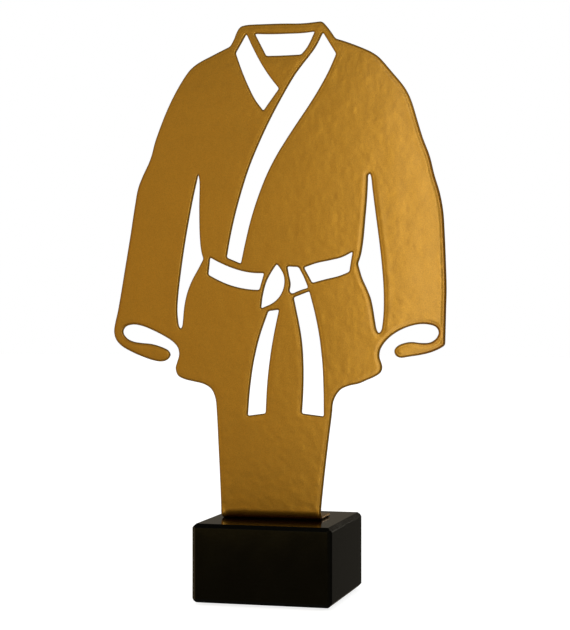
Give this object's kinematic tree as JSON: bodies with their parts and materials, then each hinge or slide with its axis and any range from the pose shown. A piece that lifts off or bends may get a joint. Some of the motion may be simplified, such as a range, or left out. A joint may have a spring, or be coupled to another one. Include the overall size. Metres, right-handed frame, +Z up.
{
  "type": "figure trophy",
  "caption": "Flat sheet-metal trophy figure shaped as a crossed, belted training jacket, bent into a foot and screwed to a chamfered polished stone block.",
  "frame": {"origin": "middle of the underside of the felt pad, on the surface that the trophy stands on", "axes": "+Z up, the figure's painted front faces -Y, +X is to the right when looking at the front"},
  "size_m": [0.1466, 0.06, 0.2452],
  "materials": {
    "gold_paint": "satin metallic gold powder coat on steel",
    "black_stone": "polished black stone",
    "felt": "self-adhesive wool felt",
    "zinc_steel": "bright zinc-plated steel"
  },
  "bodies": {
    "root": {"figure_plate": "gold_paint", "base_block": "black_stone", "base_pad": "felt", "clamp_screw_left": "zinc_steel", "clamp_screw_right": "zinc_steel", "head_washer_left": "zinc_steel", "head_washer_right": "zinc_steel", "foot_washer_left": "zinc_steel", "foot_washer_right": "zinc_steel", "foot_nut_left": "zinc_steel", "foot_nut_right": "zinc_steel"}
  },
  "joints": []
}
